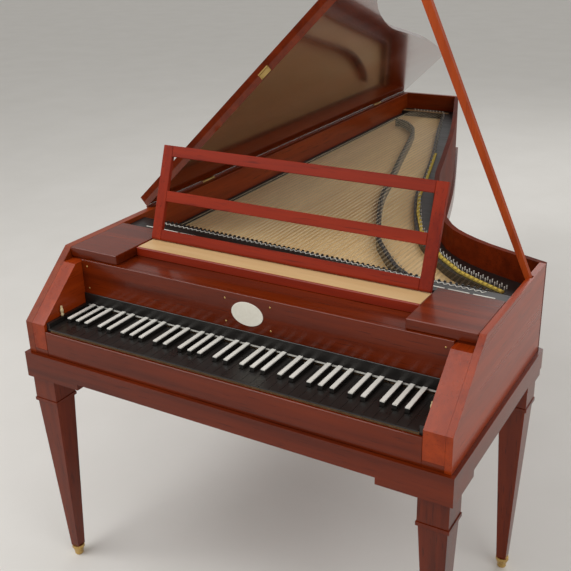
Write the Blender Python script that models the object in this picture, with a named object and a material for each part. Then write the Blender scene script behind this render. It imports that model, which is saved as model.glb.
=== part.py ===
"""Fortepiano on a four-legged stand, lid open on its prop, music desk raised.

X runs from bass to treble, Y from the keyboard to the tail, Z up from the floor.
Heights and the plan of the case are measured from the front of the natural keys.
"""

import itertools
import math

import bmesh
import bpy
from mathutils import Vector

# Fit between pieces that touch
GAP = 0.0003

# Case
CASE_HALF = 0.522
CASE_FRONT = -0.003
CASE_TAIL = 2.185
CASE_FOOT = 0.6088
CASE_TOP = 0.823
SPINE_WALL = 0.020
SIDE_WALL = 0.014
TAIL_WALL = 0.015
SLOPE_LOW = 0.687
SLOPE_BACK = 0.1515
CORNER_Y = 0.552
BENTSIDE = [(0.335, 0.629), (0.220, 0.739), (0.084, 1.029), (-0.006, 1.327), (-0.108, 1.670)]
BENTSIDE_END_X = -0.2855
BOTTOM_THICK = 0.014

# Keyboard
NATURALS = 40
NATURAL_PITCH = 0.0227
KEYS = 68
KEY_GAP = 0.0007
KEY_SLACK = 0.0012
BALANCE_HALF = 0.009
SHARP_WIDTH = 0.0095
SHARP_FRONT = 0.0444
SHARP_BACK = 0.1362
SHARP_TOP = 0.691
NATURAL_TOP = 0.680
COVER_THICK = 0.003
LEVER_FRONT = 0.0058
LEVER_FOOT = 0.6515
LEVER_REAR_TOP = 0.668
LEVER_STEP = 0.250
LEVER_BACK = 0.4795
LEVER_WIDTH = 0.0112
BALANCE_Y = 0.200
FIRST_PLAYED = 31
PLAYED = ["c1", "c1_sharp", "d1", "d1_sharp", "e1", "f1", "f1_sharp", "g1", "g1_sharp", "a1", "a1_sharp", "b1"]
HAMMER_KEY = 9
RAIL_DEEP = 0.0012

# Action
STRIKE_Y = 0.352
HAMMER_PIVOT_Y = 0.455
HAMMER_PIVOT_Z = 0.683
HAMMER_WIDTH = 0.005
HAMMER_TOP = 0.735
KAPSEL_LONG = 0.014
KAPSEL_HIGH = 0.022

# Front of the case
BLOCK_INNER = 0.4640
BLOCK_TOP = 0.795
BLOCK_FLAT = 0.1197
KEYSLIP_THICK = 0.0075
KEYSLIP_TOP = 0.670
KEY_BLOCK_WIDTH = 0.0092
KEY_BLOCK_TOP = 0.690
KNOB_Y = 0.053
NAMEBOARD_FRONT = 0.140
NAMEBOARD_THICK = 0.010
NAMEBOARD_FOOT = 0.690
BATTEN_FRONT = 0.137
BATTEN_FOOT = 0.688
BATTEN_TOP = 0.716
SHELF_TOP = 0.800
SHELF_THICK = 0.008
CAP_FRONT = 0.147
CAP_INNER = 0.3613

# Slanted lines across the case, as Y at the middle and slope
SHELF_LINE = (0.326, -0.030)
PLANK_LINE = (0.330, -0.030)
BELLY_LINE = (0.388, -0.055)
DAMPER_LINE = (0.3955, -0.062)

# Strung back
PLANK_FOOT = 0.717
PLANK_TOP = 0.757
NUT_TOP = 0.772
BELLY_FOOT = 0.722
BELLY_DEEP = 0.016
SOUNDBOARD_TOP = 0.740
SOUNDBOARD_THICK = 0.003
BRIDGE_TOP = 0.768
BRIDGE_WIDTH = 0.013
BRIDGE = [(-0.446, 1.925), (-0.4186, 1.921), (-0.3674, 1.874), (-0.3035, 1.759), (-0.2026, 1.413),
          (-0.1267, 1.161), (-0.0699, 0.973), (0.0403, 0.717), (0.1003, 0.6135), (0.2337, 0.468), (0.440, 0.408)]
HITCH_TOP = 0.760
HITCH_INNER = [(0.470, 0.462), (0.375, 0.512), (0.312, 0.545), (0.240, 0.613), (0.128, 0.762),
               (0.005, 1.043), (-0.044, 1.221), (-0.131, 1.513), (-0.226, 1.797), (-0.300, 2.030)]
HITCH_TAIL = 2.112
DAMPER_TOP = 0.812
DAMPER_FOOT = 0.784
RACK_FOOT = 0.7745
RACK_TOP = 0.800
RACK_THICK = 0.004
TOOTH_TOP = 0.8135
TOOTH_WIDTH = 0.005

# Lid
LID_ANGLE = math.radians(43.5)
LID_THICK = 0.015
LID_FOLD = 0.466
LID_OVERHANG = 0.002
HINGE_OUT = 0.004
HINGE_BARREL = 0.0037
HINGE_LONG = 0.060
LID_HINGES = {"front": 0.753, "rear": 1.920}
FLAP_FRONT = 0.1485
FLAP_AXIS_OUT = 0.001
FLAP_BARREL = 0.0025
FLAP_HINGE_X = 0.545
FLAP_HINGE_LONG = 0.035
PROP_X = 0.5125
PROP_Y = 0.455
PROP_Z = 0.8145
PROP_LONG = 0.757
PROP_THICK = 0.013
PROP_ROUND = 0.006
PROP_TOP_HALF = 0.010
PROP_ANGLE = math.radians(65.7)
PROP_PIN = 0.0015

# Music desk
DESK_HALF = 0.3600
DESK_FRONT = 0.220
DESK_BACK = 0.290
DESK_TOP = 0.821
DESK_AXIS_Y = 0.284
DESK_AXIS_Z = 0.8273
DESK_LEAN = math.radians(20.3)
DESK_LONG = 0.2225
DESK_THICK = 0.011
DESK_RAIL = 0.026
DESK_STILE = 0.027
DESK_MIDDLE = 0.102

# Stand and legs
STAND_OUT = 0.009
STAND_THICK = 0.025
STAND_TOP = 0.6085
APRON_FOOT = 0.560
BLOCK_FOOT = 0.545
BLOCK_SIDE = 0.076
BRACKET_INNER = 0.375
CORNER_BACK = 0.100
LEG_SIDE = 0.064
LEG_COLLAR = 0.068
LEG_INSET = 0.008
LEG_FOOT = 0.030
LEG_FOOT_SIDE = 0.024
COLLAR_FOOT = 0.477
COLLAR_TOP = 0.485
SIDE_LEG_Y = 0.515
TAIL_LEG = (-0.401, 2.115)
FOOT_LOW = 0.0100
FOOT_RADIUS = 0.0165


def material(name, colour, roughness, metallic=0.0):
    """A Principled material of one colour."""
    made = bpy.data.materials.new(name)
    made.use_nodes = True
    shader = made.node_tree.nodes["Principled BSDF"]
    shader.inputs["Base Color"].default_value = (*colour, 1)
    shader.inputs["Roughness"].default_value = roughness
    shader.inputs["Metallic"].default_value = metallic
    made.diffuse_color = (*colour, 1)
    return made


def empty(name, parent, at=(0, 0, 0), turn=(0, 0, 0)):
    """A frame to hang moving pieces on."""
    made = bpy.data.objects.new(name, None)
    bpy.context.scene.collection.objects.link(made)
    made.parent = parent
    made.location = at
    made.rotation_euler = turn
    return made


def piece(name, shape, look, parent, at=(0, 0, 0), turn=(0, 0, 0), bevel=0.0, smooth=False):
    """The bmesh as a named object under its parent."""
    bmesh.ops.recalc_face_normals(shape, faces=shape.faces)
    mesh = bpy.data.meshes.new(name)
    shape.to_mesh(mesh)
    shape.free()
    mesh.materials.append(look)
    if smooth:
        mesh.shade_smooth()
        mesh.set_sharp_from_angle(angle=math.radians(35))
    made = bpy.data.objects.new(name, mesh)
    bpy.context.scene.collection.objects.link(made)
    made.parent = parent
    made.location = at
    made.rotation_euler = turn
    if bevel:
        rounded = made.modifiers.new("edges", "BEVEL")
        rounded.width = bevel
        rounded.segments = 1
        rounded.limit_method = "ANGLE"
        rounded.angle_limit = math.radians(50)
    return made


def helper(name, shape, parent, at=(0, 0, 0), turn=(0, 0, 0)):
    """A hidden solid for a Boolean."""
    made = piece(name, shape, looks["brass"], parent, at, turn)
    made.hide_render = True
    made.display_type = "WIRE"
    return made


def combine(target, other, operation, solver="EXACT"):
    """Cuts the helper from the target, or joins it on."""
    step = target.modifiers.new(other.name, "BOOLEAN")
    step.operation = operation
    step.solver = solver
    step.object = other
    return target


def prism(outline, along, low, high):
    """An outline in the two other axes, run from low to high along one."""
    place = {
        "X": lambda u, v, t: (t, u, v),
        "Y": lambda u, v, t: (u, t, v),
        "Z": lambda u, v, t: (u, v, t),
    }[along]
    shape = bmesh.new()
    ends = [[shape.verts.new(place(u, v, t)) for u, v in outline] for t in (low, high)]
    shape.faces.new(ends[0])
    shape.faces.new(ends[1])
    for i in range(len(outline)):
        j = (i + 1) % len(outline)
        shape.faces.new((ends[0][i], ends[0][j], ends[1][j], ends[1][i]))
    return shape


def rings(sections):
    """A loft through rings of as many points each, closed at both ends."""
    shape = bmesh.new()
    loops = [[shape.verts.new(point) for point in section] for section in sections]
    shape.faces.new(loops[0])
    shape.faces.new(loops[-1])
    for lower, upper in zip(loops, loops[1:]):
        for i in range(len(lower)):
            j = (i + 1) % len(lower)
            shape.faces.new((lower[i], lower[j], upper[j], upper[i]))
    return shape


def square(x, y, z, side):
    """A level square ring about a centre."""
    h = side / 2
    return [(x - h, y - h, z), (x + h, y - h, z), (x + h, y + h, z), (x - h, y + h, z)]


def turned(profile, steps, x=0.0, y=0.0):
    """A solid of revolution about an upright axis, from (radius, height) pairs."""
    sections = []
    for radius, z in profile:
        sections.append([(x + radius * math.cos(a), y + radius * math.sin(a), z)
                         for a in (2 * math.pi * i / steps for i in range(steps))])
    return rings(sections)


def rod(along, radius, low, high, steps=12, at=(0.0, 0.0)):
    """A round bar along X or Y, about a centre in the two other axes."""
    circle = [(at[0] + radius * math.cos(2 * math.pi * i / steps),
               at[1] + radius * math.sin(2 * math.pi * i / steps)) for i in range(steps)]
    return prism(circle, along, low, high)


def blocks(boxes):
    """The union of upright boxes (x0, x1, y0, y1, z0, z1) as one skin."""
    cuts = [sorted({round(v, 7) for box in boxes for v in box[2 * k:2 * k + 2]}) for k in range(3)]
    index = [{v: i for i, v in enumerate(cut)} for cut in cuts]
    filled = set()
    for box in boxes:
        spans = [range(index[k][round(box[2 * k], 7)], index[k][round(box[2 * k + 1], 7)]) for k in range(3)]
        filled.update(itertools.product(*spans))
    shape = bmesh.new()
    corners = {}
    for cell in sorted(filled):
        for k, side in itertools.product(range(3), (0, 1)):
            beside = list(cell)
            beside[k] += 2 * side - 1
            if tuple(beside) in filled:
                continue
            ring = []
            for a, b in ((0, 0), (1, 0), (1, 1), (0, 1)):
                spot = list(cell)
                spot[k] += side
                spot[(k + 1) % 3] += a
                spot[(k + 2) % 3] += b
                spot = tuple(spot)
                if spot not in corners:
                    corners[spot] = shape.verts.new([cuts[n][spot[n]] for n in range(3)])
                ring.append(corners[spot])
            shape.faces.new(ring if side else ring[::-1])
    shape.normal_update()
    bmesh.ops.dissolve_limit(shape, angle_limit=0.001, verts=shape.verts, edges=shape.edges)
    return shape


def smooth_line(points, steps):
    """A Catmull-Rom line through the points."""
    ends = [tuple(2 * a - b for a, b in zip(points[0], points[1])),
            tuple(2 * a - b for a, b in zip(points[-1], points[-2]))]
    knots = [Vector(p) for p in [ends[0], *points, ends[1]]]
    line = []
    for p0, p1, p2, p3 in zip(knots, knots[1:], knots[2:], knots[3:]):
        for t in (i / steps for i in range(steps)):
            line.append(0.5 * ((2 * p1) + (p2 - p0) * t + (2 * p0 - 5 * p1 + 4 * p2 - p3) * t * t
                               + (3 * p1 - p0 - 3 * p2 + p3) * t ** 3))
    line.append(knots[-2])
    return [(p.x, p.y) for p in line]


def offset_line(points, distance):
    """The polyline moved to its left by the distance, with mitred corners."""
    line = []
    for i, point in enumerate(points):
        before = Vector(point) - Vector(points[i - 1]) if i else None
        after = Vector(points[i + 1]) - Vector(point) if i + 1 < len(points) else None
        first = (before or after).normalized()
        second = (after or before).normalized()
        normals = [Vector((-d.y, d.x)) for d in (first, second)]
        middle = (normals[0] + normals[1]).normalized()
        moved = Vector(point) + middle * (distance / middle.dot(normals[0]))
        line.append((moved.x, moved.y))
    return line


def end_at(points, y):
    """The polyline with its last point run on, or back, to the height y."""
    kept = [p for p in points if p[1] < y - 0.004]
    (x0, y0), (x1, y1) = kept[-2:]
    return [*kept, (x1 + (x1 - x0) * (y - y1) / (y1 - y0), y)]


def on_line(line, x, more=0.0):
    """The Y of a slanted line at x."""
    return line[0] + line[1] * x + more


def slanted(low_line, high_line, x0, x1, low_more=0.0, high_more=0.0):
    """A plan outline between two slanted lines."""
    return [(x0, on_line(low_line, x0, low_more)), (x1, on_line(low_line, x1, low_more)),
            (x1, on_line(high_line, x1, high_more)), (x0, on_line(high_line, x0, high_more))]


def side_line(inward):
    """The plan of the treble side from the cheek's end to the tail, moved inwards."""
    curve = smooth_line([(CASE_HALF, CORNER_Y), *BENTSIDE, (BENTSIDE_END_X, CASE_TAIL)], 4)
    start = (CASE_HALF, CORNER_Y - 0.008)
    return offset_line([start, *curve], inward)


for old in list(bpy.data.objects):
    bpy.data.objects.remove(old, do_unlink=True)

looks = {
    "mahogany": material("mahogany", (0.12, 0.02, 0.006), 0.25),
    "bright_mahogany": material("bright_mahogany", (0.25, 0.03, 0.004), 0.3),
    "spruce": material("spruce", (0.52, 0.31, 0.12), 0.5),
    "limewood": material("limewood", (0.45, 0.27, 0.12), 0.6),
    "oak": material("oak", (0.22, 0.12, 0.05), 0.6),
    "black": material("black", (0.012, 0.011, 0.010), 0.35),
    "bone": material("bone", (0.75, 0.72, 0.62), 0.35),
    "brass": material("brass", (0.60, 0.42, 0.14), 0.3, 1.0),
}

root = empty("fortepiano", None)
INNER_LEFT = -CASE_HALF + SPINE_WALL
INNER_RIGHT = CASE_HALF - SIDE_WALL
INNER_TAIL = CASE_TAIL - TAIL_WALL
FLOOR_TOP = CASE_FOOT + GAP + BOTTOM_THICK


def wall_profile(back):
    """The side view of a side wall with its sloped front."""
    return [(CASE_FRONT, CASE_FOOT), (back, CASE_FOOT), (back, CASE_TOP), (SLOPE_BACK, CASE_TOP),
            (CASE_FRONT, SLOPE_LOW)]


def build_case():
    """The four walls and the bottom."""
    piece("spine", prism(wall_profile(CASE_TAIL), "X", -CASE_HALF, INNER_LEFT), looks["mahogany"], root,
          bevel=0.001)
    cheek_back = CORNER_Y - 0.008 - GAP
    cheek = piece("cheek", prism(wall_profile(cheek_back), "X", INNER_RIGHT, CASE_HALF), looks["mahogany"], root)
    notch_half = PROP_THICK / 2 + 0.0007
    notch = blocks([(INNER_RIGHT - 0.005, PROP_X + PROP_ROUND + 0.0006, PROP_Y - notch_half,
                     PROP_Y + notch_half, PROP_Z - 0.0085, CASE_TOP + 0.005)])
    combine(cheek, helper("prop_notch", notch, root), "DIFFERENCE")
    hole = rod("Y", PROP_PIN + GAP, PROP_Y - 0.0145, PROP_Y + 0.0145, 12, (PROP_X, PROP_Z))
    combine(cheek, helper("prop_pin_hole", hole, root), "DIFFERENCE")
    outer = end_at(side_line(0.0), INNER_TAIL - GAP)
    inner = end_at(side_line(SIDE_WALL), INNER_TAIL - GAP)
    piece("bentside", prism(outer + inner[::-1], "Z", CASE_FOOT, CASE_TOP), looks["mahogany"], root)
    ends = [end_at(side_line(0.0), y)[-1] for y in (INNER_TAIL, CASE_TAIL)]
    tail = [(INNER_LEFT + GAP, INNER_TAIL), ends[0], ends[1], (INNER_LEFT + GAP, CASE_TAIL)]
    piece("tail_board", prism(tail, "Z", CASE_FOOT, CASE_TOP), looks["mahogany"], root)
    inside = end_at(side_line(SIDE_WALL + GAP), INNER_TAIL - GAP)
    slip_back = CASE_FRONT + KEYSLIP_THICK + GAP
    plan = [(INNER_LEFT + GAP, CASE_FRONT), (-BLOCK_INNER, CASE_FRONT), (-BLOCK_INNER, slip_back),
            (BLOCK_INNER, slip_back), (BLOCK_INNER, CASE_FRONT), (INNER_RIGHT - GAP, CASE_FRONT),
            *inside, (INNER_LEFT + GAP, INNER_TAIL - GAP)]
    piece("bottom_board", prism(plan, "Z", CASE_FOOT, FLOOR_TOP - GAP), looks["oak"], root)


def build_front():
    """The blocks, slips, boards and caps round the keyboard."""
    plank_back = on_line(PLANK_LINE, CASE_HALF)
    back = NAMEBOARD_FRONT + NAMEBOARD_THICK
    block = [(CASE_FRONT, FLOOR_TOP), (plank_back, FLOOR_TOP), (plank_back, PLANK_FOOT - GAP),
             (back, PLANK_FOOT - GAP), (back, BLOCK_TOP), (BLOCK_FLAT, BLOCK_TOP), (CASE_FRONT, SLOPE_LOW)]
    piece("bass_cheek_block", prism(block, "X", INNER_LEFT + GAP, -BLOCK_INNER - GAP), looks["mahogany"], root)
    piece("treble_cheek_block", prism(block, "X", BLOCK_INNER + GAP, INNER_RIGHT - GAP), looks["mahogany"], root)
    slip = blocks([(-BLOCK_INNER + GAP, BLOCK_INNER - GAP, CASE_FRONT, CASE_FRONT + KEYSLIP_THICK,
                    CASE_FOOT, KEYSLIP_TOP)])
    piece("keyslip", slip, looks["mahogany"], root, bevel=0.001)
    for side, name in ((-1, "bass_key_block"), (1, "treble_key_block")):
        edges = sorted((side * (BLOCK_INNER - GAP), side * (BLOCK_INNER - GAP - KEY_BLOCK_WIDTH)))
        block_front = CASE_FRONT + KEYSLIP_THICK + GAP
        made = piece(name, blocks([(*edges, block_front, BATTEN_FRONT - GAP, FLOOR_TOP, KEY_BLOCK_TOP)]),
                     looks["black"], root)
        top = KEY_BLOCK_TOP
        knob = turned([(0.0028, top - 0.004), (0.0028, top + 0.002), (0.0042, top + 0.004), (0.0028, top + 0.007),
                       (0.0036, top + 0.010), (0.0044, top + 0.014), (0.0036, top + 0.018), (0.0022, top + 0.020),
                       (0.0030, top + 0.022), (0.0022, top + 0.025)], 10, sum(edges) / 2, KNOB_Y)
        combine(made, helper(name + "_knob", knob, root), "UNION")
    board = blocks([(-BLOCK_INNER + GAP, BLOCK_INNER - GAP, NAMEBOARD_FRONT, back, NAMEBOARD_FOOT, SHELF_TOP)])
    piece("nameboard", board, looks["mahogany"], root, bevel=0.0008)
    batten = blocks([(-BLOCK_INNER + GAP, BLOCK_INNER - GAP, BATTEN_FRONT, NAMEBOARD_FRONT - GAP,
                      BATTEN_FOOT, BATTEN_TOP)])
    piece("nameboard_batten", batten, looks["black"], root, bevel=0.0006)
    front = back + GAP
    shelf = [(INNER_LEFT + GAP, front), (INNER_RIGHT - GAP, front),
             (INNER_RIGHT - GAP, on_line(SHELF_LINE, INNER_RIGHT)), (INNER_LEFT + GAP, on_line(SHELF_LINE, INNER_LEFT))]
    piece("desk_shelf", prism(shelf, "Z", SHELF_TOP - SHELF_THICK, SHELF_TOP), looks["mahogany"], root)
    for name, x0, x1 in (("bass_cap", INNER_LEFT + GAP, -CAP_INNER), ("treble_cap", CAP_INNER, INNER_RIGHT - GAP)):
        cap = [(x0, CAP_FRONT), (x1, CAP_FRONT), (x1, on_line(SHELF_LINE, x1)), (x0, on_line(SHELF_LINE, x0))]
        piece(name, prism(cap, "Z", SHELF_TOP + GAP, CASE_TOP), looks["mahogany"], root, bevel=0.0015)


def build_strung_back():
    """The wrestplank, the soundboard and what lies on it."""
    x0, x1 = INNER_LEFT + GAP, INNER_RIGHT - GAP
    plank_front = NAMEBOARD_FRONT + NAMEBOARD_THICK + GAP
    plank = [(x0, plank_front), (x1, plank_front), (x1, on_line(PLANK_LINE, x1)), (x0, on_line(PLANK_LINE, x0))]
    wrestplank = piece("wrestplank", prism(plank, "Z", PLANK_FOOT, PLANK_TOP), looks["oak"], root)
    nut = slanted(PLANK_LINE, PLANK_LINE, x0 + 0.02, x1 - 0.02, -0.016, -0.009)
    nut_shape = prism(nut, "Z", PLANK_TOP - 0.002, NUT_TOP)
    combine(wrestplank, helper("nut_strip", nut_shape, root), "UNION")
    belly = slanted(BELLY_LINE, BELLY_LINE, x0, x1, 0.0, BELLY_DEEP)
    board_foot = SOUNDBOARD_TOP - SOUNDBOARD_THICK
    piece("belly_rail", prism(belly, "Z", BELLY_FOOT, board_foot - GAP), looks["oak"], root)
    inside = end_at(side_line(SIDE_WALL + GAP), INNER_TAIL - GAP)
    board = [(x0, on_line(BELLY_LINE, x0, 0.001)), (x1, on_line(BELLY_LINE, x1, 0.001)), *inside,
             (x0, INNER_TAIL - GAP)]
    piece("soundboard", prism(board, "Z", board_foot, SOUNDBOARD_TOP), looks["spruce"], root)
    middle = smooth_line(BRIDGE, 3)
    sides = offset_line(middle, BRIDGE_WIDTH / 2) + offset_line(middle, -BRIDGE_WIDTH / 2)[::-1]
    piece("bridge", prism(sides, "Z", SOUNDBOARD_TOP + GAP, BRIDGE_TOP), looks["black"], root, bevel=0.0015)
    edge = end_at(smooth_line(HITCH_INNER, 3), HITCH_TAIL)
    rail = [(x1, 0.445), *inside, (x0, INNER_TAIL - GAP), (x0, HITCH_TAIL), *edge[::-1]]
    piece("hitch_rail", prism(rail, "Z", SOUNDBOARD_TOP + GAP, HITCH_TOP), looks["black"], root)
    over = slanted(SHELF_LINE, DAMPER_LINE, x0, x1, 0.006, 0.0)
    piece("damper_rail", prism(over, "Z", DAMPER_FOOT, DAMPER_TOP), looks["black"], root, bevel=0.001)


def build_damper_rack():
    """The bar of dampers that rises behind its rail, one finger for each note."""
    slant = math.atan(DAMPER_LINE[1])
    pitch = NATURALS * NATURAL_PITCH / KEYS / math.cos(slant)
    half = KEYS * pitch / 2
    comb = [(-half, RACK_FOOT), (half, RACK_FOOT), (half, RACK_TOP)]
    for i in reversed(range(KEYS)):
        x = (i + 0.5) * pitch - half
        comb += [(x + TOOTH_WIDTH / 2, RACK_TOP), (x + TOOTH_WIDTH / 2, TOOTH_TOP),
                 (x - TOOTH_WIDTH / 2, TOOTH_TOP), (x - TOOTH_WIDTH / 2, RACK_TOP)]
    comb.append((-half, RACK_TOP))
    piece("damper_rack", prism(comb, "Y", 0.0, RACK_THICK), looks["black"], root,
          at=(0, on_line(DAMPER_LINE, 0) + GAP, 0), turn=(0, 0, slant))


def key_spans():
    """For each key, whether it is a sharp, and its head and neck from left to right."""
    left = -NATURALS * NATURAL_PITCH / 2
    shift = {6: -0.0032, 8: 0.0, 10: 0.0032, 1: -0.0023, 3: 0.0023}
    sharps = {}
    natural = 0
    order = []
    for i in range(KEYS):
        note = (5 + i) % 12
        if note in shift:
            sharps[i] = left + natural * NATURAL_PITCH + shift[note]
            order.append((i, None))
        else:
            order.append((i, natural))
            natural += 1
    spans = []
    for i, place in order:
        if place is None:
            spans.append((True, sharps[i] - SHARP_WIDTH / 2, sharps[i] + SHARP_WIDTH / 2, None, None))
            continue
        x0 = left + place * NATURAL_PITCH + KEY_GAP / 2
        x1 = x0 + NATURAL_PITCH - KEY_GAP
        neck0 = sharps[i - 1] + SHARP_WIDTH / 2 + KEY_GAP if i - 1 in sharps else x0
        neck1 = sharps[i + 1] - SHARP_WIDTH / 2 - KEY_GAP if i + 1 in sharps else x1
        spans.append((False, neck0, neck1, x0, x1))
    return spans


def key_boxes(i, span, foot):
    """The boxes of one key: head and cover, or sharp, then lever and Kapsel."""
    sharp, neck0, neck1, x0, x1 = span
    pitch = NATURALS * NATURAL_PITCH / KEYS
    middle = (i + 0.5) * pitch - NATURALS * NATURAL_PITCH / 2
    lever0, lever1 = middle - LEVER_WIDTH / 2, middle + LEVER_WIDTH / 2
    lever_top = NATURAL_TOP - COVER_THICK
    neck_back = SHARP_BACK
    boxes = [(lever0, lever1, neck_back + KEY_SLACK, LEVER_STEP, foot, lever_top),
             (max(lever0, neck0), min(lever1, neck1), neck_back, neck_back + KEY_SLACK, foot, lever_top),
             (lever0, lever1, LEVER_STEP, LEVER_BACK, foot, LEVER_REAR_TOP)]
    if sharp:
        boxes.append((neck0, neck1, SHARP_FRONT, neck_back, foot, SHARP_TOP))
    else:
        head_back = SHARP_FRONT - KEY_GAP
        boxes.append((x0, x1, LEVER_FRONT, head_back, foot, NATURAL_TOP))
        boxes.append((x0, x1, 0.0, LEVER_FRONT, lever_top, NATURAL_TOP))
        boxes.append((neck0, neck1, head_back, neck_back, foot, NATURAL_TOP))
    return boxes, middle


def kapsel_boxes(middle, open_fork):
    """The fork that carries the hammer, as one block or as its two cheeks."""
    y0, y1 = HAMMER_PIVOT_Y - KAPSEL_LONG / 2, HAMMER_PIVOT_Y + KAPSEL_LONG / 2
    top = LEVER_REAR_TOP + KAPSEL_HIGH
    outer = LEVER_WIDTH / 2 - 0.0005
    inner = HAMMER_WIDTH / 2 + 0.0005
    if not open_fork:
        return [(middle - outer, middle + outer, y0, y1, LEVER_REAR_TOP - 0.001, top)]
    return [(middle - outer, middle - inner, y0, y1, LEVER_REAR_TOP - 0.001, top),
            (middle + inner, middle + outer, y0, y1, LEVER_REAR_TOP - 0.001, top)]


def hammer_boxes(middle):
    """A hammer at rest on a key that stays with the frame."""
    x0, x1 = middle - HAMMER_WIDTH / 2, middle + HAMMER_WIDTH / 2
    return [(x0, x1, STRIKE_Y - 0.006, HAMMER_PIVOT_Y, 0.684, 0.689),
            (x0, x1, STRIKE_Y - 0.006, STRIKE_Y + 0.006, 0.684, HAMMER_TOP)]


def slope_sharps(shape, y_shift=0.0):
    """Leans the front of each sharp back."""
    for vert in shape.verts:
        if abs(vert.co.z - (SHARP_TOP - y_shift)) < 1e-6 and vert.co.y < SHARP_FRONT + 0.001:
            vert.co.y += 0.004


def build_keys():
    """The key frame with the keys that stay with it, and an octave that plays."""
    half = NATURALS * NATURAL_PITCH / 2 - 0.0005
    rest_top = LEVER_FOOT - GAP
    frame = [(-half, half, 0.030, 0.060, FLOOR_TOP, 0.642),
             (-half, half, BALANCE_Y - BALANCE_HALF, BALANCE_Y + BALANCE_HALF, FLOOR_TOP, rest_top),
             (-half, half, 0.425, 0.470, FLOOR_TOP, rest_top)]
    for x0, x1 in ((-half, -half + 0.025), (-0.02, 0.02), (half - 0.025, half)):
        frame.append((x0, x1, 0.030, 0.470, FLOOR_TOP, 0.640))
    spans = key_spans()
    for i, span in enumerate(spans):
        played = i - FIRST_PLAYED
        if 0 <= played < len(PLAYED):
            boxes, middle = key_boxes(i, span, LEVER_FOOT)
            boxes += kapsel_boxes(middle, played == HAMMER_KEY)
            if played != HAMMER_KEY:
                boxes += hammer_boxes(middle)
            shape = blocks(boxes)
            slope_sharps(shape)
            bmesh.ops.translate(shape, verts=shape.verts, vec=(-middle, -BALANCE_Y, -LEVER_FOOT))
            piece("key_" + PLAYED[played], shape, looks["black"], root, at=(middle, BALANCE_Y, LEVER_FOOT))
            if played == HAMMER_KEY:
                build_hammer(middle)
        else:
            boxes, middle = key_boxes(i, span, LEVER_FOOT - RAIL_DEEP)
            frame += boxes + kapsel_boxes(middle, False) + hammer_boxes(middle)
    shape = blocks(frame)
    slope_sharps(shape)
    piece("key_frame", shape, looks["limewood"], root)


def build_hammer(middle):
    """The free hammer: beak, shank and head, about its pivot in the Kapsel."""
    y, z = STRIKE_Y - HAMMER_PIVOT_Y, HAMMER_TOP - HAMMER_PIVOT_Z
    side = [(0.025, -0.002), (0.025, 0.002), (0.0, 0.005), (y + 0.008, 0.0175), (y + 0.006, z - 0.002),
            (y + 0.003, z), (y - 0.003, z), (y - 0.006, z - 0.002), (y - 0.006, 0.0125), (0.0, -0.005)]
    piece("hammer_a1", prism(side, "X", -HAMMER_WIDTH / 2, HAMMER_WIDTH / 2), looks["limewood"], root,
          at=(middle, HAMMER_PIVOT_Y, HAMMER_PIVOT_Z))


def build_lid():
    """The main lid on the spine, and the front flap folded back on it."""
    axis_x, axis_z = -CASE_HALF - HINGE_OUT, CASE_TOP + GAP
    pivot = empty("lid_pivot", root, (axis_x, 0, axis_z), (0, -LID_ANGLE, 0))
    rim = [(x - axis_x, y) for x, y in end_at(side_line(-LID_OVERHANG), CASE_TAIL + LID_OVERHANG)]
    outline = [(HINGE_OUT, LID_FOLD), (rim[0][0], LID_FOLD), *rim, (HINGE_OUT, CASE_TAIL + LID_OVERHANG)]
    lid = piece("main_lid", prism(outline, "Z", 0.0, LID_THICK), looks["mahogany"], pivot)
    axis_y = LID_FOLD - FLAP_AXIS_OUT
    groove = rod("X", FLAP_BARREL + GAP, FLAP_HINGE_X - FLAP_HINGE_LONG / 2 - 0.0005,
                 FLAP_HINGE_X + FLAP_HINGE_LONG / 2 + 0.0005, 12, (axis_y, LID_THICK + GAP / 2))
    groove_cut = helper("flap_hinge_groove", groove, pivot)
    combine(lid, groove_cut, "DIFFERENCE")
    flap_pivot = empty("flap_pivot", pivot, (0, axis_y, LID_THICK + GAP / 2))
    long = LID_FOLD - FLAP_FRONT
    width = CASE_HALF - axis_x + LID_OVERHANG
    flap = blocks([(HINGE_OUT, width, FLAP_AXIS_OUT + 0.0005, long, GAP / 2, GAP / 2 + LID_THICK)])
    flap_piece = piece("front_flap", flap, looks["mahogany"], flap_pivot)
    combine(flap_piece, groove_cut, "DIFFERENCE")
    start, end = FLAP_HINGE_X - FLAP_HINGE_LONG / 2, FLAP_HINGE_X + FLAP_HINGE_LONG / 2
    barrel = rod("X", FLAP_BARREL, start, end, 12, (axis_y, LID_THICK + GAP / 2))
    hinge = piece("flap_hinge", barrel, looks["brass"], pivot)
    leaf = blocks([(start, end, LID_FOLD - GAP - 0.0012, LID_FOLD - GAP, 0.002, LID_THICK - 0.0005)])
    combine(hinge, helper("flap_hinge_leaf", leaf, pivot), "UNION")
    for name, y in LID_HINGES.items():
        made = piece("lid_hinge_" + name, rod("Y", HINGE_BARREL, y - HINGE_LONG / 2, y + HINGE_LONG / 2, 12,
                                              (axis_x, axis_z)), looks["brass"], root)
        face = -CASE_HALF - GAP
        plate = blocks([(face - 0.0016, face, y - HINGE_LONG / 2, y + HINGE_LONG / 2, axis_z - 0.032,
                         axis_z - 0.001)])
        combine(made, helper("lid_hinge_plate_" + name, plate, root), "UNION")


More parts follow.
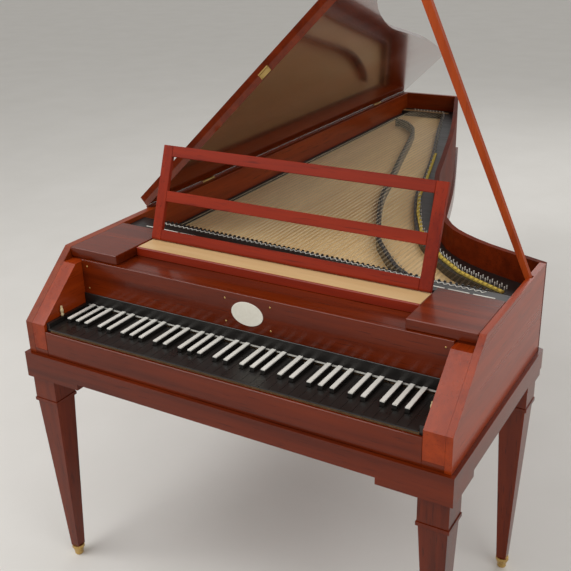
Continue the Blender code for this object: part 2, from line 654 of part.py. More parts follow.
def build_prop():
    """The stick that holds the lid, pinned in a notch of the cheek."""
    foot = [(PROP_ROUND * math.cos(a), PROP_ROUND * math.sin(a))
            for a in (math.radians(180 + 30 * i) for i in range(7))]
    side = [*foot, (PROP_TOP_HALF, PROP_LONG), (-PROP_TOP_HALF, PROP_LONG)]
    turn = (0, PROP_ANGLE - math.pi / 2, 0)
    at = (PROP_X, PROP_Y, PROP_Z)
    stick = piece("prop_stick", prism(side, "Y", -PROP_THICK / 2, PROP_THICK / 2), looks["bright_mahogany"], root,
                  at, turn)
    pin = rod("Y", PROP_PIN, -0.0135, 0.0135, 10)
    combine(stick, helper("prop_pin", pin, root, at, turn), "UNION")


def build_desk():
    """The sliding base and the hinged frame of the music desk."""
    base = blocks([(-DESK_HALF, DESK_HALF, DESK_FRONT, DESK_BACK, SHELF_TOP + GAP, DESK_TOP)])
    piece("desk_base", base, looks["limewood"], root, bevel=0.001)
    pivot = empty("desk_pivot", root, (0, DESK_AXIS_Y, DESK_AXIS_Z), (-DESK_LEAN, 0, 0))
    for name, x0 in (("bass", -DESK_HALF), ("treble", DESK_HALF - DESK_STILE)):
        stile = prism(desk_side(DESK_LONG), "X", x0, x0 + DESK_STILE)
        piece("desk_stile_" + name, stile, looks["bright_mahogany"], pivot, bevel=0.001)
    inner = DESK_HALF - DESK_STILE - GAP
    bottom = prism(desk_side(DESK_RAIL - DESK_THICK / 2), "X", -inner, inner)
    piece("desk_rail_bottom", bottom, looks["bright_mahogany"], pivot, bevel=0.001)
    for name, middle in (("middle", DESK_MIDDLE), ("top", DESK_LONG - DESK_RAIL / 2)):
        rail = blocks([(-inner, inner, -DESK_THICK / 2, DESK_THICK / 2, middle - DESK_RAIL / 2,
                        middle + DESK_RAIL / 2)])
        piece("desk_rail_" + name, rail, looks["bright_mahogany"], pivot, bevel=0.001)


def desk_side(high):
    """The side view of a desk member, round at the foot so that it can fold."""
    t = DESK_THICK / 2
    arc = [(t * math.cos(a), t * math.sin(a)) for a in (math.radians(180 + 30 * i) for i in range(7))]
    return [*arc, (t, high), (-t, high)]


def build_stand():
    """The rails under the case, deeper at the legs, and the four legs in their cups."""
    outer_x, front = CASE_HALF + STAND_OUT, CASE_FRONT - STAND_OUT
    board = (-outer_x, outer_x, front, front + STAND_THICK, APRON_FOOT, STAND_TOP)
    boxes = [board]
    for side in (-1, 1):
        bracket = sorted((side * BRACKET_INNER, side * outer_x))
        post = sorted((side * (outer_x - BLOCK_SIDE), side * outer_x))
        boxes.append((*bracket, front, front + STAND_THICK, BLOCK_FOOT, STAND_TOP))
        boxes.append((*post, front, CORNER_BACK, BLOCK_FOOT, STAND_TOP))
    piece("stand_front_rail", blocks(boxes), looks["mahogany"], root)
    tail = CASE_TAIL + STAND_OUT
    piece("stand_spine_rail", blocks([(-outer_x, -outer_x + STAND_THICK, CORNER_BACK + GAP,
                                       tail - STAND_THICK - GAP, APRON_FOOT, STAND_TOP)]), looks["mahogany"], root)
    start = (outer_x, CORNER_BACK + GAP)
    inner_start = (outer_x - STAND_THICK, CORNER_BACK + GAP)
    outer = [start, *end_at(side_line(-STAND_OUT), tail - STAND_THICK - GAP)]
    inner = [inner_start, *end_at(side_line(STAND_THICK - STAND_OUT), tail - STAND_THICK - GAP)]
    side_rail = piece("stand_side_rail", prism(outer + inner[::-1], "Z", APRON_FOOT, STAND_TOP),
                      looks["mahogany"], root)
    inset = 0.0005
    corner = (outer_x - inset, CORNER_Y - 0.002)
    leg_front = SIDE_LEG_Y - 0.060
    plan = [(outer_x - inset, leg_front), corner, (outer_x - BLOCK_SIDE, CORNER_Y + 0.024),
            (outer_x - BLOCK_SIDE, leg_front)]
    block = prism(plan, "Z", BLOCK_FOOT, STAND_TOP - inset)
    combine(side_rail, helper("side_leg_block", block, root), "UNION", "MANIFOLD")
    ends = [end_at(side_line(-STAND_OUT), y)[-1] for y in (tail - STAND_THICK, tail)]
    tail_plan = [(-outer_x, tail - STAND_THICK), ends[0], ends[1], (-outer_x, tail)]
    tail_rail = piece("stand_tail_rail", prism(tail_plan, "Z", APRON_FOOT, STAND_TOP), looks["mahogany"], root)
    x, y = TAIL_LEG
    tail_block = blocks([(x - BLOCK_SIDE / 2, x + BLOCK_SIDE / 2, y - BLOCK_SIDE / 2, tail - STAND_THICK + 0.005,
                          BLOCK_FOOT, STAND_TOP - inset)])
    combine(tail_rail, helper("tail_leg_block", tail_block, root), "UNION")
    leg_x = outer_x - LEG_INSET - LEG_SIDE / 2
    leg_y = front + LEG_INSET + LEG_SIDE / 2
    legs = {"front_bass": (-leg_x, leg_y, -0.004, 0.004), "front_treble": (leg_x, leg_y, 0.004, 0.004),
            "side": (leg_x, SIDE_LEG_Y, 0.0, 0.0), "tail": (*TAIL_LEG, 0.0, 0.0)}
    for name, (x, y, lean_x, lean_y) in legs.items():
        build_leg(name, x, y, x + lean_x, y + lean_y)


def build_leg(name, x, y, foot_x, foot_y):
    """A square leg with a collar, tapering into a turned cup."""
    top = BLOCK_FOOT - GAP
    sections = [square(foot_x, foot_y, LEG_FOOT, LEG_FOOT_SIDE), square(x, y, COLLAR_FOOT, LEG_SIDE - 0.004),
                square(x, y, COLLAR_FOOT, LEG_COLLAR), square(x, y, COLLAR_TOP, LEG_COLLAR),
                square(x, y, COLLAR_TOP, LEG_SIDE), square(x, y, top, LEG_SIDE)]
    piece("leg_" + name, rings(sections), looks["mahogany"], root)
    high = LEG_FOOT - GAP
    profile = [(FOOT_LOW, 0.0), (FOOT_LOW + 0.0015, 0.003), (FOOT_LOW + 0.001, 0.008), (0.0135, 0.016),
               (FOOT_RADIUS, 0.023), (FOOT_RADIUS, 0.026), (FOOT_RADIUS - 0.001, high)]
    piece("foot_" + name, turned(profile, 12, foot_x, foot_y), looks["brass"], root, smooth=True)


def centre_on_floor():
    """Moves the whole instrument so that its box stands centred on the origin."""
    bpy.context.view_layer.update()
    graph = bpy.context.evaluated_depsgraph_get()
    spots = []
    for made in bpy.data.objects:
        if made.type != "MESH" or made.hide_render:
            continue
        seen = made.evaluated_get(graph)
        mesh = seen.to_mesh()
        spots += [seen.matrix_world @ vert.co for vert in mesh.vertices]
        seen.to_mesh_clear()
    for k in range(2):
        values = [spot[k] for spot in spots]
        root.location[k] = -(min(values) + max(values)) / 2
    root.location[2] = -min(spot.z for spot in spots)
    print("moved by", [round(v, 6) for v in root.location])


build_case()
build_front()
build_strung_back()
build_damper_rack()
build_keys()
build_lid()
build_prop()
build_desk()
build_stand()
centre_on_floor()
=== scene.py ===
import math
import bpy
import bmesh
from mathutils import Matrix, Vector


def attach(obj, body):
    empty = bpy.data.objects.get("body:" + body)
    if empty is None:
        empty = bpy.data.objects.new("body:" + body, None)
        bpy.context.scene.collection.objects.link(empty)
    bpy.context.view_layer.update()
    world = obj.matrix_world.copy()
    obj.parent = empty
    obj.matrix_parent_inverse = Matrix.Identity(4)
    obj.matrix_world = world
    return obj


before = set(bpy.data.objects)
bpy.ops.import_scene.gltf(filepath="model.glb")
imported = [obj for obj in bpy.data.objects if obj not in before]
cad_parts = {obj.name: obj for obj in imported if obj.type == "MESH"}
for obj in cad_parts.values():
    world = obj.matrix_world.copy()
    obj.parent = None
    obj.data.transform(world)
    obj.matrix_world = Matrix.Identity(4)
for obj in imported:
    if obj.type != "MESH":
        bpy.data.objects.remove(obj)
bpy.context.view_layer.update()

shiftX, shiftY = 0.006478, -1.091      # where the middle of the keys' front edge lies


def place(x, y, z):
    return Vector((x + shiftX, y + shiftY, z))


class Wire:
    # a socket that takes part in Python sums

    def __init__(self, nodes, socket):
        self.nodes, self.socket = nodes, socket

    def sum(self, operation, first, second):
        return self.nodes.add("ShaderNodeMath", {"operation": operation}, {0: first, 1: second})

    def __add__(self, other):
        return self.sum("ADD", self, other)

    def __mul__(self, other):
        return self.sum("MULTIPLY", self, other)

    __radd__, __rmul__ = __add__, __mul__

    def __gt__(self, other):
        return self.sum("GREATER_THAN", self, other)

    def __lt__(self, other):
        return self.sum("LESS_THAN", self, other)


class Nodes:
    # a node tree and the one way to add to it

    def __init__(self, tree):
        self.tree = tree

    def fill(self, node, values):
        for key, value in values.items():
            if isinstance(value, Wire):
                self.tree.links.new(value.socket, node.inputs[key])
            else:
                node.inputs[key].default_value = value

    def add(self, kind, settings=None, values=None, out=0):
        node = self.tree.nodes.new(kind)
        for key, value in (settings or {}).items():
            if key == "stops":
                for element, (at, colour) in zip(node.color_ramp.elements, value):
                    element.position, element.color = at, (*colour, 1)
            else:
                setattr(node, key, value)
        self.fill(node, values or {})
        return Wire(self, node.outputs[out])

    def spread(self, amount, low, high, first=0.3, second=0.7):
        # low where the amount is first, high where it is second; a noise seldom passes 0.3 and 0.7
        return self.add("ShaderNodeMapRange", {}, {0: amount, 1: first, 2: second, 3: low, 4: high})


class Finish(Nodes):
    # one material

    def __init__(self, name):
        self.material = bpy.data.materials.new(name)
        self.material.use_nodes = True
        super().__init__(self.material.node_tree)
        self.tree.nodes.clear()
        self.shader = self.tree.nodes.new("ShaderNodeBsdfPrincipled")
        out = self.tree.nodes.new("ShaderNodeOutputMaterial")
        self.tree.links.new(self.shader.outputs[0], out.inputs[0])

    def spot(self):
        # the object's own coordinates
        return self.add("ShaderNodeTexCoord", out="Object")

    def along(self, axis):
        return self.add("ShaderNodeSeparateXYZ", {}, {0: self.spot()}, out=axis)

    def noise(self, scale, detail=4.0, roughness=0.55):
        stretched = self.add("ShaderNodeVectorMath", {"operation": "MULTIPLY"}, {0: self.spot(), 1: scale})
        return self.add("ShaderNodeTexNoise", {}, {"Vector": stretched, "Scale": 1.0, "Detail": detail,
                                                   "Roughness": roughness})

    def ramp(self, amount, first, second, dark, light):
        return self.add("ShaderNodeValToRGB", {"stops": [(first, dark), (second, light)]}, {0: amount})

    def mix(self, amount, first, second):
        first = (*first, 1) if isinstance(first, tuple) else first
        second = (*second, 1) if isinstance(second, tuple) else second
        return self.add("ShaderNodeMix", {"data_type": "RGBA"}, {0: amount, 6: first, 7: second}, out=2)

    def bump(self, height, strength, distance):
        return self.add("ShaderNodeBump", {}, {"Height": height, "Strength": strength,
                                               "Distance": distance})

    def finish(self, **values):
        self.fill(self.shader, {key.replace("_", " "): value for key, value in values.items()})
        return self.material


print("finishes")

# the figure's dark and light, how rough the polish is, its lacquer and its shine
mahoganyKinds = {
    "case": {"dark": (0.050, 0.0050, 0.0006), "light": (0.200, 0.0230, 0.0018), "gloss": 0.20,
             "coat": 0.15, "shine": 0.22},
    "lid": {"dark": (0.060, 0.0070, 0.0012), "light": (0.190, 0.0250, 0.0032), "gloss": 0.10,
            "coat": 0.6, "shine": 0.22},
    "slope": {"dark": (0.170, 0.0160, 0.0018), "light": (0.400, 0.0500, 0.0045), "gloss": 0.25,
              "coat": 0.10, "shine": 0.22},
    "desk": {"dark": (0.150, 0.0070, 0.0006), "light": (0.330, 0.0240, 0.0012), "gloss": 0.45,
             "coat": 0.0, "shine": 0.22},
    "stick": {"dark": (0.260, 0.0300, 0.0035), "light": (0.440, 0.0700, 0.0080), "gloss": 0.42,
              "coat": 0.0, "shine": 0.22},
    "outer": {"dark": (0.050, 0.0050, 0.0006), "light": (0.180, 0.0200, 0.0018), "gloss": 0.50,
              "coat": 0.0, "shine": 0.06},
    "inside": {"dark": (0.130, 0.0150, 0.0020), "light": (0.330, 0.0480, 0.0050), "gloss": 0.28,
               "coat": 0.1, "shine": 0.22},
}
mahoganyGrain = {"alongGrain": 0.045, "figure": 9.0, "stripe": 54.0, "pores": 330.0, "poreDark": 0.35,
                 "poreDepth": 0.55, "glossSpread": 0.08, "bump": 0.06, "bumpHigh": 0.0004}


def grained(axis, fine):
    # a noise's scale, small along the grain so that the figure runs long
    scale = [fine, fine, fine]
    scale["XYZ".index(axis)] = fine * mahoganyGrain["alongGrain"]
    return tuple(scale)


def mahogany(kind, axis):
    name = "mahogany_" + kind + "_" + axis.lower()
    if name in bpy.data.materials:
        return bpy.data.materials[name]
    values, grain = mahoganyKinds[kind], mahoganyGrain
    wood = Finish(name)
    figure = wood.noise(grained(axis, grain["figure"]), 5.0, 0.6)
    stripe = wood.noise(grained(axis, grain["stripe"]), 3.0, 0.5)
    pores = wood.noise(grained(axis, grain["pores"]), 2.0, 0.5)
    figured = wood.ramp(figure * 0.6 + stripe * 0.4, 0.30, 0.70, values["dark"], values["light"])
    poreMask = wood.spread(pores, 0.0, grain["poreDepth"], 0.60, 0.72)
    colour = wood.mix(poreMask, figured, tuple(grain["poreDark"] * part for part in values["dark"]))
    rough = wood.spread(figure, values["gloss"], values["gloss"] + grain["glossSpread"])
    relief = wood.bump(pores, grain["bump"], grain["bumpHigh"])
    return wood.finish(Base_Color=colour, Roughness=rough, Coat_Weight=values["coat"], Coat_Roughness=0.06,
                       Specular_IOR_Level=values["shine"], Normal=relief)


def plainWood(name, dark, light, axis, gloss, fine=26.0):
    wood = Finish(name)
    grain = wood.noise(grained(axis, fine))
    lines = wood.noise(grained(axis, fine * 9), 2.0, 0.5)
    colour = wood.ramp(grain * 0.5 + lines * 0.5, 0.32, 0.68, dark, light)
    return wood.finish(Base_Color=colour, Roughness=gloss, Normal=wood.bump(lines, 0.10, 0.0005))


keyLook = {"coverBack": 0.1368, "coverFoot": 0.6765, "boneFoot": 0.6887, "gloss": (0.24, 0.40),
           "black": ((0.0055, 0.0048, 0.0042), (0.017, 0.0145, 0.0125)),
           "bone": ((0.60, 0.575, 0.51), (0.86, 0.84, 0.79)),
           "lever": ((0.20, 0.11, 0.050), (0.42, 0.27, 0.14))}


def keyWood():
    # black naturals, dark sharps with bone tops, bare levers behind the nameboard
    wood = Finish("keys_black_and_bone")
    front = wood.along("Y") < keyLook["coverBack"] + shiftY
    boneMask = (wood.along("Z") > keyLook["boneFoot"]) * front
    coverMask = (wood.along("Z") > keyLook["coverFoot"]) * front
    grain = wood.noise((70, 9, 70), 4.0, 0.6)
    wear = wood.noise((22, 14, 22), 3.0, 0.5)
    covered = wood.mix(coverMask, wood.mix(grain, *keyLook["lever"]), wood.mix(wear, *keyLook["black"]))
    colour = wood.mix(boneMask, covered, wood.mix(grain, *keyLook["bone"]))
    return wood.finish(Base_Color=colour, Roughness=wood.spread(wear, *keyLook["gloss"]),
                       Normal=wood.bump(grain, 0.06, 0.0004))


ebonyLook = {"dark": (0.006, 0.00516, 0.00468), "light": (0.020, 0.017, 0.015), "gloss": (0.30, 0.44)}


def ebonised():
    black = Finish("ebonised_wood")
    grain = black.noise((9, 60, 60), 4.0, 0.6)
    return black.finish(Base_Color=black.mix(grain, ebonyLook["dark"], ebonyLook["light"]),
                        Roughness=black.spread(grain, *ebonyLook["gloss"]),
                        Normal=black.bump(grain, 0.08, 0.0005))


keyBlockLook = {"knobFoot": 0.6906, "gloss": 0.32,
                "black": ((0.006, 0.005, 0.0045), (0.020, 0.017, 0.015)),
                "knob": ((0.62, 0.46, 0.22), (0.82, 0.68, 0.42))}


def keyBlock():
    # ebonised blocks under turned bone knobs
    block = Finish("key_block_black_with_knob")
    grain = block.noise((60, 9, 60), 4.0, 0.6)
    colour = block.mix(block.along("Z") > keyBlockLook["knobFoot"], block.mix(grain, *keyBlockLook["black"]),
                       block.mix(grain, *keyBlockLook["knob"]))
    return block.finish(Base_Color=colour, Roughness=keyBlockLook["gloss"],
                        Normal=block.bump(grain, 0.06, 0.0004))


deskBaseLook = {"bareFoot": 0.8204, "bareFront": 0.2255, "bareBack": 0.2850, "gloss": 0.42,
                "bare": ((0.50, 0.30, 0.120), (0.74, 0.52, 0.27))}


def deskBase():
    # bare wood on the top between stained edges
    wood = Finish("desk_base_bare_and_stained")
    front = wood.along("Y") > deskBaseLook["bareFront"] + shiftY
    back = wood.along("Y") < deskBaseLook["bareBack"] + shiftY
    bareMask = (wood.along("Z") > deskBaseLook["bareFoot"]) * front * back
    grain = wood.noise((4, 60, 60), 4.0, 0.6)
    stained = wood.mix(grain, mahoganyKinds["desk"]["dark"], mahoganyKinds["desk"]["light"])
    colour = wood.mix(bareMask, stained, wood.mix(grain, *deskBaseLook["bare"]))
    return wood.finish(Base_Color=colour, Roughness=deskBaseLook["gloss"],
                       Normal=wood.bump(grain, 0.08, 0.0004))


def metal(name, dark, light, rough):
    made = Finish(name)
    tarnish = made.noise((45, 45, 45), 4.0, 0.6)
    return made.finish(Base_Color=made.mix(tarnish, dark, light), Metallic=1.0,
                       Roughness=made.spread(tarnish, rough, rough + 0.15))


def cloth(name, dark, light, weave=900.0):
    made = Finish(name)
    fuzz = made.noise((weave, weave, weave), 2.0, 0.6)
    patch = made.noise((18, 18, 18), 3.0, 0.5)
    return made.finish(Base_Color=made.mix(fuzz * 0.6 + patch * 0.4, dark, light), Roughness=0.92,
                       Normal=made.bump(fuzz, 0.4, 0.0006))


spruce = plainWood("spruce_soundboard", (0.62, 0.39, 0.160), (0.84, 0.60, 0.300), "Y", 0.36, fine=34.0)
limewood = plainWood("limewood_moulding", (0.34, 0.19, 0.075), (0.52, 0.33, 0.155), "X", 0.48)
oak = plainWood("oak_inner_boards", (0.13, 0.068, 0.026), (0.27, 0.155, 0.065), "Y", 0.6)
pearwood = plainWood("pearwood_hammer", (0.30, 0.17, 0.075), (0.50, 0.31, 0.15), "Y", 0.5)
keyFinish = keyWood()
blackWood = ebonised()
bone = cloth("bone_cream", (0.70, 0.66, 0.55), (0.88, 0.85, 0.76), weave=120.0)
brass = metal("brass_worn", (0.42, 0.25, 0.07), (0.78, 0.56, 0.22), 0.24)
wireMetal = metal("string_wire", (0.30, 0.24, 0.16), (0.55, 0.47, 0.34), 0.30)
pinMetal = metal("pin_steel", (0.55, 0.53, 0.48), (0.80, 0.78, 0.72), 0.30)
yellowCloth = cloth("listing_cloth_yellow", (0.52, 0.36, 0.045), (0.78, 0.58, 0.11))
whiteLeather = cloth("leather_white", (0.62, 0.60, 0.54), (0.85, 0.83, 0.76))

# each CAD node's finish; the letter is the axis that mahogany's grain follows
nodeFinishes = [
    (mahogany("case", "X"), ["nameboard", "keyslip", "bass_cap", "treble_cap", "stand_front_rail",
                             "stand_tail_rail", "desk_shelf", "bottom_board"]),
    (mahogany("case", "Y"), ["stand_spine_rail", "stand_side_rail"]),
    (mahogany("case", "Z"), ["leg_front_bass", "leg_front_treble", "leg_side", "leg_tail"]),
    (mahogany("outer", "Y"), ["bentside", "front_flap"]),
    (mahogany("inside", "X"), ["tail_board"]),
    (mahogany("inside", "Y"), ["spine"]),
    (mahogany("lid", "Y"), ["main_lid"]),
    (mahogany("slope", "Y"), ["bass_cheek_block", "treble_cheek_block", "cheek"]),
    (mahogany("desk", "X"), ["desk_rail_bottom", "desk_rail_middle", "desk_rail_top"]),
    (mahogany("desk", "Z"), ["desk_stile_bass", "desk_stile_treble"]),
    (mahogany("stick", "Z"), ["prop_stick"]),
    (spruce, ["soundboard"]),
    (deskBase(), ["desk_base"]),
    (oak, ["belly_rail", "wrestplank"]),
    (pearwood, ["hammer_a1"]),
    (keyBlock(), ["bass_key_block", "treble_key_block"]),
    (blackWood, ["nameboard_batten", "bridge", "hitch_rail", "damper_rail", "damper_rack"]),
    (brass, ["flap_hinge", "lid_hinge_front", "lid_hinge_rear", "foot_front_bass", "foot_front_treble",
             "foot_side", "foot_tail"]),
    (keyFinish, [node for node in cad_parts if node.startswith("key_")]),
]
for material, nodes in nodeFinishes:
    for node in nodes:
        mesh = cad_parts[node].data
        mesh.materials.clear()
        mesh.materials.append(material)


def newPiece(name, shape, material, smooth=False):
    # everything that is added here is fixed to the case
    bmesh.ops.recalc_face_normals(shape, faces=shape.faces)
    mesh = bpy.data.meshes.new(name)
    shape.to_mesh(mesh)
    shape.free()
    for face in mesh.polygons:
        face.use_smooth = smooth
    mesh.materials.append(material)
    piece = bpy.data.objects.new(name, mesh)
    bpy.context.scene.collection.objects.link(piece)
    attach(piece, "case")


def roundEdges(shape, edges, offset):
    bmesh.ops.bevel(shape, geom=edges, offset=offset, segments=2, profile=0.5, affect="EDGES", material=-1)


def addBlock(shape, low, high, bevel=0.0):
    turned = Matrix.Translation((low + high) / 2) @ Matrix.Diagonal((*(high - low), 1))
    made = bmesh.ops.create_cube(shape, size=1.0, matrix=turned)
    if bevel:
        edges = dict.fromkeys(edge for vert in made["verts"] for edge in vert.link_edges)
        roundEdges(shape, list(edges), bevel)


def addRod(shape, start, end, radius, sides):
    along = end - start
    turn = along.to_track_quat("Z", "Y").to_matrix().to_4x4()
    bmesh.ops.create_cone(shape, cap_ends=True, segments=sides, radius1=radius, radius2=radius,
                          depth=along.length, matrix=Matrix.Translation((start + end) / 2) @ turn)


def addPin(shape, x, y, pin):
    # an upright pin
    addRod(shape, place(x, y, pin["foot"]), place(x, y, pin["top"]), pin["radius"], pin["sides"])


def addStrip(shape, line, wide, foot, top):
    # a flat strip along a line of points, drawn out to its width and then to its height
    points = [place(x, y, foot) for x, y in line]
    order = [bmesh.ops.create_vert(shape, co=points[0])["vert"][0]]
    edges = []
    for point in points[1:]:
        grown = bmesh.ops.extrude_vert_indiv(shape, verts=[order[-1]])
        order.append(grown["verts"][0])
        order[-1].co = point
        edges.append(grown["edges"][0])
    grown = bmesh.ops.extrude_edge_only(shape, edges=edges)["geom"]
    faces = [part for part in grown if isinstance(part, bmesh.types.BMFace)]
    for i, vert in enumerate(order):
        along = points[min(i + 1, len(points) - 1)] - points[max(i - 1, 0)]
        aside = Vector((-along.y, along.x, 0)).normalized() * wide / 2
        neighbours = [edge.other_vert(vert) for edge in vert.link_edges]
        twin = [other for other in neighbours if other not in order][0]     # drawn from this vertex
        twin.co += aside
        vert.co -= aside
    for part in bmesh.ops.extrude_face_region(shape, geom=faces)["geom"]:
        if isinstance(part, bmesh.types.BMVert):
            part.co.z = top


def between(line, x):
    # Y on a line of points at that X
    line = sorted(line)
    for (x0, y0), (x1, y1) in zip(line, line[1:]):
        if x0 <= x <= x1:
            return y0 + (y1 - y0) * (x - x0) / (x1 - x0)
    return line[0][1] if x < line[0][0] else line[-1][1]


print("strings and pins")

strung = {"notes": 68, "pitch": 40 * 0.0227 / 68, "pair": 0.0028, "wire": 0.00036, "sides": 4,
          "nutAt": 0.318, "nutSlope": -0.030, "nutTop": 0.7726, "bridgeTop": 0.7690, "hitchTop": 0.7645}
bridgePin = {"line": [(-0.446, 1.925), (-0.4186, 1.921), (-0.3674, 1.874), (-0.3035, 1.759),
                      (-0.2026, 1.413), (-0.1267, 1.161), (-0.0699, 0.973), (0.0403, 0.717),
                      (0.1003, 0.6135), (0.2337, 0.468), (0.440, 0.408)],
             "aside": 0.0009, "foot": 0.7675, "top": 0.7711, "radius": 0.0008, "sides": 5}
hitchPin = {"line": [(0.470, 0.462), (0.375, 0.512), (0.312, 0.545), (0.240, 0.613), (0.128, 0.762),
                     (0.005, 1.043), (-0.044, 1.221), (-0.131, 1.513), (-0.226, 1.797), (-0.300, 2.030),
                     (-0.330, 2.108)],
            "rows": (0.030, 0.040), "last": 2.125, "foot": 0.7595, "top": 0.7685, "radius": 0.0014,
            "sides": 6}
wires, bridgePins, hitchPins = bmesh.new(), bmesh.new(), bmesh.new()
for note in range(strung["notes"]):
    middle = (note + 0.5 - strung["notes"] / 2) * strung["pitch"]
    for side, row in zip((-0.5, 0.5), hitchPin["rows"]):
        x = middle + side * strung["pair"]
        nutY = strung["nutAt"] + strung["nutSlope"] * x
        bridgeY = between(bridgePin["line"], x)
        hitchY = min(between(hitchPin["line"], x) + row, hitchPin["last"])
        nut, onBridge = place(x, nutY, strung["nutTop"]), place(x, bridgeY, strung["bridgeTop"])
        hitch = place(x, hitchY, strung["hitchTop"])
        addRod(wires, nut, onBridge, strung["wire"], strung["sides"])
        addRod(wires, onBridge, hitch, strung["wire"], strung["sides"])
        addPin(bridgePins, x + bridgePin["aside"], bridgeY, bridgePin)
        addPin(hitchPins, x, hitchY, hitchPin)
newPiece("strings", wires, wireMetal)
newPiece("bridge_pins", bridgePins, pinMetal)
newPiece("hitch_pins", hitchPins, whiteLeather)

print("listing, mouldings and liners")

listing = {"line": [(-0.117, 1.517), (-0.031, 1.225), (0.018, 1.048), (0.072, 0.909), (0.140, 0.770),
                    (0.250, 0.624), (0.321, 0.556), (0.375, 0.524), (0.4485, 0.4865)],
           "wide": 0.0088, "foot": 0.7602, "top": 0.7645}
shape = bmesh.new()
addStrip(shape, **listing)
newPiece("listing_cloth", shape, yellowCloth)

liner = {"low": (-0.5015, 0.460, 0.7403), "high": (-0.491, 2.108, 0.750), "bevel": 0.0008}
shape = bmesh.new()
addBlock(shape, place(*liner["low"]), place(*liner["high"]), liner["bevel"])
newPiece("spine_liner", shape, blackWood)

# closes the slit behind the open lid
bead = {"x": -0.526, "z": 0.8233, "radius": 0.0035, "front": 0.470, "tail": 2.180, "sides": 16}
shape = bmesh.new()
addRod(shape, place(bead["x"], bead["front"], bead["z"]), place(bead["x"], bead["tail"], bead["z"]),
       bead["radius"], bead["sides"])
newPiece("spine_bead", shape, mahogany("case", "Y"), smooth=True)

tailStrip = {"low": (-0.497, 2.1175, 0.7602), "high": (-0.300, 2.1275, 0.7635), "bevel": 0.0005}
shape = bmesh.new()
addBlock(shape, place(*tailStrip["low"]), place(*tailStrip["high"]), tailStrip["bevel"])
newPiece("tail_moulding", shape, limewood)

print("damper rail trim")

trim = {"foot": 0.8121, "top": 0.8132}
leathers = {"line": [(-0.452, 0.3710), (-0.381, 0.3685), (-0.108, 0.3560), (0.013, 0.3520), (0.452, 0.3360)],
            "count": 17, "first": -0.450, "pitch": 0.055, "long": 0.047, "wide": 0.0030}
shape = bmesh.new()
for i in range(leathers["count"]):
    x = leathers["first"] + i * leathers["pitch"]
    ends = [(at, between(leathers["line"], at)) for at in (x, x + leathers["long"])]
    addStrip(shape, ends, leathers["wide"], **trim)
newPiece("damper_rail_leathers", shape, whiteLeather)

lacing = {"line": [(-0.452, 0.4085), (-0.413, 0.406), (-0.014, 0.3885), (0.339, 0.3635), (0.460, 0.3560)],
          "count": 128, "first": -0.446, "step": 0.007, "lean": 0.0045, "wide": 0.0013}
shape = bmesh.new()
for i in range(lacing["count"]):
    x = lacing["first"] + i * lacing["step"]
    y = between(lacing["line"], x)
    lean = lacing["lean"] * (1 if i % 2 else -1)
    addStrip(shape, [(x, y - lean), (x + lacing["step"], y + lean)], lacing["wide"], **trim)
newPiece("damper_rail_lacing", shape, whiteLeather)

print("nameboard")

nameboardFace = 0.1402
oval = {"x": 0.001, "z": 0.757, "wide": 0.080, "high": 0.055, "thick": 0.0014, "edge": 0.0005}
shape = bmesh.new()
turned = Matrix.Translation(place(oval["x"], nameboardFace, oval["z"])) \
    @ Matrix.Rotation(math.radians(90), 4, "X") @ Matrix.Diagonal((oval["wide"] / 2, oval["high"] / 2, 1, 1))
bmesh.ops.create_circle(shape, cap_ends=True, segments=48, radius=1.0, matrix=turned)
grown = bmesh.ops.extrude_face_region(shape, geom=list(shape.faces))["geom"]
front = [part for part in grown if isinstance(part, bmesh.types.BMVert)]
bmesh.ops.translate(shape, verts=front, vec=(0, -oval["thick"], 0))
roundEdges(shape, [edge for edge in shape.edges if all(vert in front for vert in edge.verts)], oval["edge"])
newPiece("nameboard_oval", shape, bone)

pins = {"x": (-0.448, -0.055, 0.059, 0.448), "z": (0.784, 0.729), "radius": 0.0024, "flat": 0.5}
shape = bmesh.new()
for x in pins["x"]:
    for z in pins["z"]:
        flattened = Matrix.Translation(place(x, nameboardFace, z)) @ Matrix.Diagonal((1, pins["flat"], 1, 1))
        bmesh.ops.create_uvsphere(shape, u_segments=12, v_segments=6, radius=pins["radius"],
                                  matrix=flattened)
newPiece("nameboard_pins", shape, brass, smooth=True)

bushing = {"low": (-0.4535, 0.1376, 0.6838), "high": (0.4535, 0.1396, 0.6878)}
shape = bmesh.new()
addBlock(shape, place(*bushing["low"]), place(*bushing["high"]))
newPiece("key_bushing_strip", shape, whiteLeather)

print("camera and light")

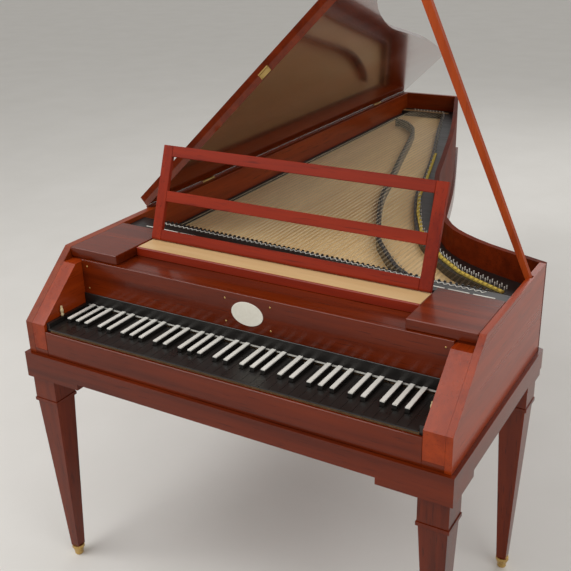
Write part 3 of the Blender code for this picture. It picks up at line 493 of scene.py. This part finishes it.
view = {"spot": (0.964578, -2.3759, 1.5589), "yaw": -0.5427, "pitch": 0.4064, "roll": -0.0281,
        "lens": 55.80, "sensor": 36.0, "far": 200}
yaw, pitch, roll = view["yaw"], view["pitch"], view["roll"]
forward = Vector((math.sin(yaw) * math.cos(pitch), math.cos(yaw) * math.cos(pitch), -math.sin(pitch)))
right = Vector((math.cos(yaw), -math.sin(yaw), 0))
up = right.cross(forward)
right, up = right * math.cos(roll) + up * math.sin(roll), up * math.cos(roll) - right * math.sin(roll)
camera = bpy.data.objects.new("camera", bpy.data.cameras.new("camera"))
camera.data.lens, camera.data.sensor_width = view["lens"], view["sensor"]
camera.data.clip_end = view["far"]
camera.matrix_world = Matrix((
    (right.x, up.x, -forward.x, view["spot"][0]), (right.y, up.y, -forward.y, view["spot"][1]),
    (right.z, up.z, -forward.z, view["spot"][2]), (0, 0, 0, 1)))
bpy.context.scene.collection.objects.link(camera)
bpy.context.scene.camera = camera

lamps = {"key": {"spot": (-1.6, -2.4, 3.4), "power": 70, "size": 2.2},
         "fill": {"spot": (2.8, -1.6, 2.6), "power": 28, "size": 2.5},
         "back": {"spot": (0.4, 3.2, 3.4), "power": 40, "size": 2.5}}
lampAim = Vector((0, 0, 0.7))
for name, values in lamps.items():
    lamp = bpy.data.objects.new(name + "_lamp", bpy.data.lights.new(name + "_lamp", "AREA"))
    lamp.data.energy, lamp.data.size = values["power"], values["size"]
    lamp.location = values["spot"]
    lamp.rotation_euler = (lampAim - Vector(values["spot"])).to_track_quat("-Z", "Y").to_euler()
    bpy.context.scene.collection.objects.link(lamp)

floorValues = {"half": 45.0, "colour": (0.72, 0.70, 0.66), "speck": (0.80, 0.78, 0.745)}
floorFinish = Finish("pale_floor")
speckled = floorFinish.mix(floorFinish.noise((3, 3, 3)), floorValues["colour"], floorValues["speck"])
shape = bmesh.new()
bmesh.ops.create_grid(shape, x_segments=1, y_segments=1, size=floorValues["half"])
mesh = bpy.data.meshes.new("studio_floor")
shape.to_mesh(mesh)
shape.free()
mesh.materials.append(floorFinish.finish(Base_Color=speckled, Roughness=0.85))
floor = bpy.data.objects.new("studio_floor", mesh)
bpy.context.scene.collection.objects.link(floor)

# the camera sees a brighter backdrop than the one that lights the piano
sky = {"colour": (1.0, 0.985, 0.96, 1), "onObject": 0.50, "seen": 0.9}
world = bpy.data.worlds.new("studio")
world.use_nodes = True
bpy.context.scene.world = world
air = Nodes(world.node_tree)
seen = air.add("ShaderNodeLightPath", out="Is Camera Ray")
strength = air.spread(seen, sky["onObject"], sky["seen"], 0.0, 1.0)
air.fill(world.node_tree.nodes["Background"], {0: sky["colour"], 1: strength})
bpy.context.scene.view_settings.view_transform = "Standard"
